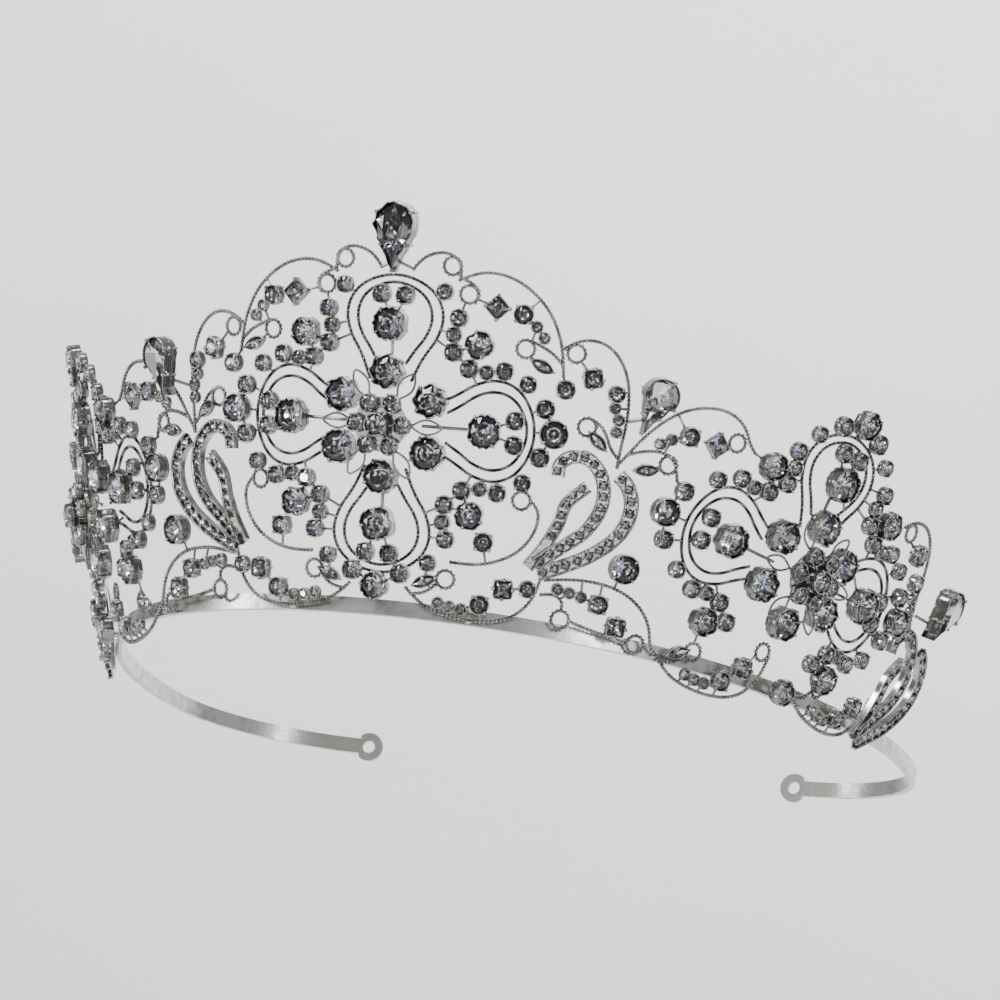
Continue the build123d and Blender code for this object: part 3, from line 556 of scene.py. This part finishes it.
def cut_stone(build, seat_of, fine=True):
    """A brilliant cut fitted to the outline: glass crown over a foiled pavilion."""
    centre, x, y, n, outline, depth, crown = seat_of
    step = 2 if fine else 4
    count = SIDES // step

    def point(k, share, height):
        k = k % SIDES
        a = 2 * pi * k / SIDES
        return centre + (x * cos(a) + y * sin(a)) * outline[k] * share * 0.985 + n * height

    m = count // 2
    faces = []
    table = [point(k * 2 * step, 0.56, crown) for k in range(m)]
    middle = [point(k * 2 * step + step, 0.80, crown * 0.56) for k in range(m)]
    girdle = [point(k * step, 1.0, crown * 0.06) for k in range(count)]
    base = [point(k * step, 1.0, -crown * 0.10) for k in range(count)]
    verts = table + middle + girdle
    t0, m0, g0 = 0, m, 2 * m
    faces.append(tuple(range(m)))
    for k in range(m):
        nxt = (k + 1) % m
        faces.append((t0 + k, m0 + k, t0 + nxt))
        faces.append((m0 + k, g0 + (2 * k + 2) % count, t0 + nxt))
        faces.append((t0 + k, g0 + 2 * k, m0 + k))
        faces.append((m0 + k, g0 + 2 * k, g0 + 2 * k + 1))
        faces.append((m0 + k, g0 + 2 * k + 1, g0 + (2 * k + 2) % count))
    fixed = facing_away(verts, faces, centre - n * depth * 0.3)
    start = len(verts)
    verts += base
    for k in range(count):
        j = (k + 1) % count
        fixed.append((g0 + k, start + k, start + j, g0 + j))
    build.add(verts, fixed, False, 0)
    # pavilion: long kites to the culet and short halves under the girdle
    low = [point(k * 2 * step + step, 0.46, -depth * 0.52) for k in range(m)]
    culet = [centre - n * depth * 0.93]
    verts = base + low + culet
    faces = []
    for k in range(m):
        i0, i1, i2 = 2 * k, 2 * k + 1, (2 * k + 2) % count
        faces.append((i0, count + k, i1))
        faces.append((i1, count + k, i2))
        faces.append((i2, count + k, count + (k + 1) % m))
        faces.append((count + k, count + m, count + (k + 1) % m))
    fixed = facing_away(verts, faces, centre + n * crown)
    # Each pavilion facet gets a painted reflection tone
    build.add(verts, fixed, False, 1, facets=[DICE.choice(FACET_PAINTED_REFLECTIONS) for _ in fixed])


JOIN = 0.45 * MM  # height of the solder above a setting's back
NECK_REACH = 3.2 * MM  # farthest wire that a setting is soldered to, from its side
NECK_GAP = 0.9 * MM  # widest gap soldered between two settings


def cup(build, seat_of, wall=0.30 * MM, claws=4, ball=0.0, floor=0.30 * MM, first=0.5, neck=True):
    """Thin-walled cup round a stone, with a rounded rim and claws bent over the girdle."""
    centre, x, y, n, outline, depth, crown = seat_of
    back = -(depth + floor)
    rim = crown * 0.46
    size = outline.mean()
    if neck:
        SETTINGS.append((centre + n * (back + JOIN), size + wall))
    spread = [outline + wall * 0.80, outline + wall, outline + wall, outline + wall * 0.93,
              outline + wall * 0.62, outline + wall * 0.25, outline + 0.02 * MM, outline + 0.015 * MM]
    levels = [back, back + 0.12 * MM, rim - 0.16 * MM, rim - 0.05 * MM, rim, rim - 0.02 * MM,
              rim - 0.10 * MM, -0.1 * depth]
    rings = list(zip(spread, levels)) + [(outline * 0.12, back + floor * 0.95)]
    # Painted shade: the cup darker at its back and dark inside, down to its floor
    build.lathe(centre, x, y, n, rings, painted_shading=[0.8, 0.85, 0.95, 1.0, 1.0, 0.8, 0.35, 0.15, 0.1])
    build.lathe(centre, x, y, n, [(outline + wall * 1.16, back + (rim - back) * 0.30),
                                  (outline + wall * 1.30, back + (rim - back) * 0.36),
                                  (outline + wall * 1.16, back + (rim - back) * 0.42)], False)
    for k in range(claws):
        turn = int(round((k + first) * SIDES / claws)) % SIDES
        a = 2 * pi * turn / SIDES
        out = x * cos(a) + y * sin(a)
        r = outline[turn]
        if ball:
            line = np.array([centre + out * (r + wall) + n * back, centre + out * (r + wall) + n * rim * 0.6])
            build.tube(line, 0.33 * MM, 8)
            build.ball(centre + out * (r + wall * 0.9) + n * rim, ball)
        else:
            width = min(0.26 * MM, size * 0.16)
            route = [centre + out * (r + wall) + n * (back + (rim - back) * 0.35),
                     centre + out * (r + wall * 1.1) + n * rim * 0.9,
                     centre + out * (r + wall * 0.2) + n * (rim * 1.3),
                     centre + out * (r - size * 0.10) + n * (rim * 1.22)]
            line = smooth(route, steps=4)
            build.tube(line, np.linspace(width, width * 0.8, len(line)), 7)
            build.ball(line[-1], width * 0.82)


def set_stones(name, stone_node, setting_node, claws=4, ball=0.0, first=0.5, wall=0.30 * MM, extra=None,
               normal=None):
    gems, cups = Build(), Build()
    for points in islands(stone_node):
        seat_of = stone_seat(points, front_normal(points.mean(0)) if normal is None else normal)
        cut_stone(gems, seat_of)
        if setting_node:
            cup(cups, seat_of, wall, claws, ball, first=first, neck="pear" not in name)
    if extra:
        extra(cups)
    gems.piece(f"{name}_cut_stones", [CRYSTAL, FOIL], [stone_node], "crystal")
    if setting_node:
        cups.piece(f"{name}_claw_settings", [CUP], [setting_node], "settings")


def petal_stems(sheet):
    def stems(build):
        for turn in PETAL_TURNS[sheet]:
            c, s = cos(radians(turn)), sin(radians(turn))
            ends = [on_sheet(sheet, r * c, r * s, 0.15) for r in STEM_STOPS]
            build.tube(smooth(ends), STEM_RADIUS, 10)
    return stems


def pear_struts(build):
    for inner, outer in UNITS.values():
        for place, sheet in (("front", inner), ("end", outer)):
            u, v = PEAR_TIPS[place]
            start = on_sheet(sheet, u + STRUT_START[0], v + STRUT_START[1], STRUT_START[2])
            end = on_sheet(sheet, *STRUT_ENDS[place], STRUT_END_DEPTH)
            build.tube(smooth([start, end]), STEM_RADIUS, 10)


def pear_ties(build):
    """Short necks from the start of each crest wire to the sides of the middle drop, near its tip."""
    for side in (-1, 1):
        ends = [on_sheet("centre", side * 3.2, 29.4, 0.0), on_sheet("centre", side * 0.5, 30.6, 1.0)]
        build.tube(smooth(ends), TIE_RADIUS, 8)


for sheet in ("centre", "left", "right"):
    for kind in ("flower", "petal", "cluster", "rosette"):
        set_stones(f"{sheet}_{kind}", f"{sheet}_{kind}_stones", f"{sheet}_{kind}_settings",
                   extra=petal_stems(sheet) if kind == "petal" else None,
                   normal=seat(sheet, 0, 0)[3] if kind == "rosette" else None)
set_stones("scroll_cup", "scroll_cup_stones", "scroll_cups")
set_stones("scroll_pronged", "scroll_pronged_stones", "scroll_pronged_settings", ball=PRONG_BALL)
set_stones("square", "square_stones", "square_settings", ball=PRONG_BALL, first=0.0)
set_stones("navette", "navette_stones", "navette_settings", claws=2, first=0.0)
set_stones("centre_pear", "centre_pear_stone", "centre_pear_setting", claws=5, ball=PRONG_BALL, first=0.5,
           extra=pear_ties)
set_stones("side_pear", "side_pear_stone", "side_pear_setting", claws=5, ball=PRONG_BALL, first=0.5,
           extra=pear_struts)


# ---- Pave stones with their grains
gems, grains = Build(), Build()
ribbon_seats = [seat(sheet, *RIBBON_SEATS[place][:2]) for unit_sheets in UNITS.values()
                for place, sheet in zip(("front", "end"), unit_sheets)]
for points in islands("ribbon_stones"):
    nearest = min(ribbon_seats, key=lambda s: np.linalg.norm(points.mean(0) - s[0]))
    seat_of = stone_seat(points, nearest[3])
    cut_stone(gems, seat_of, fine=False)
    centre, x, y, n, outline, depth, crown = seat_of
    for k in range(4):
        a = pi / 4 + k * pi / 2
        out = x * cos(a) + y * sin(a)
        grains.ball(centre + out * (outline.mean() + 0.10 * MM) + n * crown * 0.15, 0.20 * MM)
gems.piece("ribbon_cut_stones", [CRYSTAL, FOIL], ["ribbon_stones"], "crystal")
grains.piece("ribbon_grains", [RIBBON], [], "ribbon")


# ---- Ribbons: channelled strips with rounded, raised edges
def ribbon(name, sheet, place):
    u, v, turn = RIBBON_SEATS[place]
    origin, x, y, n = seat(sheet, u, v, SEAT, turn)
    side = MEDALLIONS[sheet][3]
    build = Build()
    for points, width in zip(STRANDS, STRAND_WIDTHS):
        corners = [origin + (x * side * (p[0] - RIBBON_CENTRE[0]) + y * (p[1] - RIBBON_CENTRE[1])) * MM
                   for p in points]
        line = even(through(corners), 0.5 * MM)
        t = np.gradient(line, axis=0)
        t /= np.linalg.norm(t, axis=1)[:, None]
        across = np.cross(n, t)
        h, e = width / 2, 0.34
        section = [(-h, 0.08), (-h + 0.08, 0.0), (h - 0.08, 0.0), (h, 0.08), (h, 1.08), (h - 0.10, 1.2),
                   (h - e, 1.2), (h - e - 0.06, 1.08), (h - e - 0.06, 0.3), (-h + e + 0.06, 0.3),
                   (-h + e + 0.06, 1.08), (-h + e, 1.2), (-h + 0.10, 1.2), (-h, 1.08)]
        count = len(section)
        verts = [line[:, None] + across[:, None] * (np.array([s[0] for s in section]) * MM)[None, :, None]
                 + n[None, None] * (np.array([s[1] for s in section]) * MM)[None, :, None]]
        faces = []
        for k in range(len(line) - 1):
            for i in range(count):
                j = (i + 1) % count
                faces.append((k * count + i, (k + 1) * count + i, (k + 1) * count + j, k * count + j))
        faces.append(tuple(range(count)))
        faces.append(tuple(reversed([(len(line) - 1) * count + i for i in range(count)])))
        build.add(verts[0].reshape(-1, 3), faces, False)
        for edge in (h - e / 2 - 0.03, -h + e / 2 + 0.03):
            build.beads(line + across * edge * MM + n * 1.17 * MM, 0.15 * MM, 0.30 * MM)
    build.piece(f"{name}_channels", [RIBBON], [name], "ribbon")


def through(corners, steps=12):
    """A smooth line through all of the points."""
    p = [np.asarray(q) for q in corners]
    p = [2 * p[0] - p[1]] + p + [2 * p[-1] - p[-2]]
    line = []
    for a, b, c, d in zip(p, p[1:], p[2:], p[3:]):
        for i in range(steps):
            t = i / steps
            line.append(0.5 * (2 * b + (c - a) * t + (2 * a - 5 * b + 4 * c - d) * t * t
                               + (3 * b - a - 3 * c + d) * t ** 3))
    line.append(p[-2])
    return np.array(line)


for side, (inner, outer) in UNITS.items():
    ribbon(f"{side}_front_ribbon", inner, "front")
    ribbon(f"{side}_end_ribbon", outer, "end")


# ---- Wires
def rolled(sheet, route, d=0.0):
    return smooth([on_sheet(sheet, u, v, d) for u, v in route])


def ring_line(sheet, u, v):
    origin, x, y, n = seat(sheet, u, v, 0.0)
    a = np.linspace(0, 2 * pi, 49)
    return origin + (x * np.cos(a)[:, None] + y * np.sin(a)[:, None]) * RING_RADIUS * MM


BEAD, BEAD_PITCH = 0.43 * MM, 0.80 * MM
LEAF_BEAD, LEAF_BEAD_PITCH = 0.27 * MM, 0.46 * MM
ROPE_RADIUS, ROPE_PITCH = 0.38 * MM, 1.15 * MM


def beaded_scrolls(side, kind, sheet, routes, rings, scallops):
    """A node's beaded wires: its routes and rings, and its scallops with their stems and rings."""
    build = Build()
    lines = [rolled(sheet, route) for route in routes] + [ring_line(sheet, u, v) for u, v in rings]
    for u, v, turn in scallops:
        lines += [rolled(sheet, moved(route, u, v, turn)) for route in (SCALLOP, SCALLOP_STEM)]
        lines.append(ring_line(sheet, *moved([SCALLOP_RING], u, v, turn)[0]))
    for line in lines:
        build.beads(line, BEAD, BEAD_PITCH)
    build.piece(f"{side}_{kind}_beaded_scrolls", [WIRE], [f"{side}_{kind}_scrolls"], "wire")


UPPER_ROUTES = [CREST, BIG_ARC, BIG_CURL, LOW_CURL, SIDE_ARC, SIDE_CURL, BRIDGE_ARC, BRIDGE_CURL]
LOWER_ROUTES = [FOOT_ARC, LOWER_ARC, LOWER_CURL, LOWER_BAR]
for side, (inner, outer) in UNITS.items():
    beaded_scrolls(side, "upper", inner, UPPER_ROUTES, UPPER_RINGS, [])
    beaded_scrolls(side, "lower", inner, LOWER_ROUTES, LOWER_RINGS, SCALLOPS["inner"])
    beaded_scrolls(side, "end", outer, [END_ARC], END_RINGS, SCALLOPS["outer"])

for sheet in ("centre", "left", "right"):
    build = Build()
    for turn in PETAL_TURNS[sheet]:
        for half, tip in ((INNER_PETAL, INNER_TIP), (OUTER_PETAL, OUTER_TIP)):
            outline = half + [(tip, 0.0)] + [(u, -v) for u, v in reversed(half)]
            build.rope(rolled(sheet, moved(outline, 0, 0, turn)), ROPE_RADIUS, ROPE_PITCH)
    build.piece(f"{sheet}_twisted_petals", [WIRE], [f"{sheet}_petal_wires"], "wire")
    build = Build()
    leaf = LEAF_HALF + [(LEAF_TIP, 0.0)] + [(u, -v) for u, v in reversed(LEAF_HALF[1:])] + [LEAF_HALF[0]]
    for sixth in range(6):
        build.beads(rolled(sheet, moved(leaf, 0, 0, 60 * sixth), LEAF_RISE), LEAF_BEAD, LEAF_BEAD_PITCH)
    build.piece(f"{sheet}_beaded_leaves", [WIRE], [f"{sheet}_leaf_loops"], "wire")

# ---- Solder: short necks of metal from each setting to the wire and the settings beside it
def solder_necks():
    build = Build()
    wire = np.concatenate(RUNS)
    backs = np.array([back for back, _ in SETTINGS])
    sizes = np.array([size for _, size in SETTINGS])
    for k, (back, size) in enumerate(SETTINGS):
        reach = np.linalg.norm(wire - back, axis=1)
        ends = [wire[np.argmin(reach)]] if reach.min() < size + NECK_REACH else []
        gaps = np.linalg.norm(backs - back, axis=1) - sizes - size
        ends += [backs[j] for j in np.where(gaps < NECK_GAP)[0] if j > k]
        for end in ends:
            share = np.linspace(0, 1, 9)[:, None]
            start = back + unit(end - back) * size * 0.8
            width = (0.26 + 0.16 * (2 * share[:, 0] - 1) ** 4) * MM
            # Painted shade: the necks between the settings and wires are darkened to 0.8
            build.tube(start + (end - start) * share, width, 8, tone=0.8)
    build.piece("solder_necks", [CUP], [], "settings")


solder_necks()

# ---- CAD pieces that keep their shape
for name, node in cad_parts.items():
    if name == "base_band" or name.endswith("eyelet"):
        material = BAND
    elif name.endswith("rosette_plate"):
        material = PLATE
    else:
        continue
    node.data.materials.clear()
    node.data.materials.append(material)


# ---- Floor sweep, lights and camera
def floor_sweep():
    """Pale floor that curves up into a wall behind the tiara."""
    near, low, back, bend, width, high = -0.9, -0.62, 1.9, 0.7, 4.5, 3.4
    profile = [(near, low), (back - bend, low)]
    profile += [(back - bend + bend * sin(a), low + bend * (1 - cos(a)))
                for a in np.linspace(0, pi / 2, 17)[1:]]
    profile.append((back, high))
    verts = [(x, y, z) for y, z in profile for x in (-width, width)]
    faces = [(2 * k, 2 * k + 1, 2 * k + 3, 2 * k + 2) for k in range(len(profile) - 1)]
    mesh = bpy.data.meshes.new("studio_sweep")
    mesh.from_pydata(verts, [], faces)
    mesh.polygons.foreach_set("use_smooth", [True] * len(faces))
    sweep = bpy.data.objects.new("studio_sweep", mesh)
    bpy.context.scene.collection.objects.link(sweep)
    material, nodes, links, shader = node_material("pale_paper")
    grain = nodes.new("ShaderNodeTexNoise")
    grain.inputs["Scale"].default_value = 60
    tone = nodes.new("ShaderNodeValToRGB")
    tone.color_ramp.elements[0].color = (0.72, 0.72, 0.73, 1)
    tone.color_ramp.elements[1].color = (0.76, 0.76, 0.77, 1)
    links.new(grain.outputs["Fac"], tone.inputs["Fac"])
    links.new(tone.outputs["Color"], shader.inputs["Base Color"])
    shader.inputs["Roughness"].default_value = 0.9
    mesh.materials.append(material)


def area_light(name, place, aim, size, power, colour=(1, 1, 1)):
    data = bpy.data.lights.new(name, "AREA")
    data.shape = "RECTANGLE"
    data.size, data.size_y = size
    data.energy = power
    data.color = colour
    lamp = bpy.data.objects.new(name, data)
    lamp.location = place
    lamp.rotation_euler = (Vector(aim) - Vector(place)).to_track_quat("-Z", "Y").to_euler()
    bpy.context.scene.collection.objects.link(lamp)


# Small lights for glints: angle round the tiara from its front, and height
SPARKS = [(-0.7, -0.45), (-0.2, -0.36), (0.25, -0.62), (0.6, -0.4), (1.15, -0.5), (1.7, -0.2)]
SPARK_REACH = 1.6
floor_sweep()
AIM = (0, 0, 0.04)
area_light("key", (-0.9, -1.3, 1.2), AIM, (0.7, 0.5), 26)
area_light("fill", (1.4, -1.2, 0.25), AIM, (0.35, 0.9), 9)
area_light("side", (-1.5, -0.7, 0.1), AIM, (0.3, 0.8), 8)
area_light("top", (0.1, -0.3, 1.5), AIM, (0.5, 0.3), 10)
area_light("wall", (0, 0.9, 1.5), (0, 1.9, 1.2), (2.6, 0.6), 72)
for azimuth, lift in SPARKS:
    place = (SPARK_REACH * sin(azimuth), -SPARK_REACH * cos(azimuth), lift)
    area_light("spark", place, AIM, (0.07, 0.07), 1.5)

world = bpy.data.worlds.new("studio")
bpy.context.scene.world = world
world.use_nodes = True
world.node_tree.nodes["Background"].inputs["Color"].default_value = (0.50, 0.50, 0.52, 1)
world.node_tree.nodes["Background"].inputs["Strength"].default_value = 0.9

VIEW = (-0.3153, -0.2069, 0.154)  # yaw, pitch and roll of the view
VIEW_SHIFT = np.array((-23.3475, 1698.1015, -18.3938)) * MM
FRAME_SHIFT = np.array((0.0, -BASE_SETBACK, BASE_HEIGHT)) * MM
yaw, pitch, roll = (np.array(Matrix.Rotation(a, 3, axis)) for a, axis in zip(VIEW, "ZXY"))
view = roll @ pitch @ yaw
right, forward, above = view
camera_data = bpy.data.cameras.new("camera")
camera_data.lens = 324
camera_data.sensor_width = 36
camera_data.clip_start = 0.1
camera_data.clip_end = 50
camera = bpy.data.objects.new("camera", camera_data)
place = -view.T @ VIEW_SHIFT + FRAME_SHIFT
camera.matrix_world = Matrix([
    (right[k], above[k], -forward[k], place[k]) for k in range(3)
] + [(0, 0, 0, 1)])
bpy.context.scene.collection.objects.link(camera)
bpy.context.scene.camera = camera
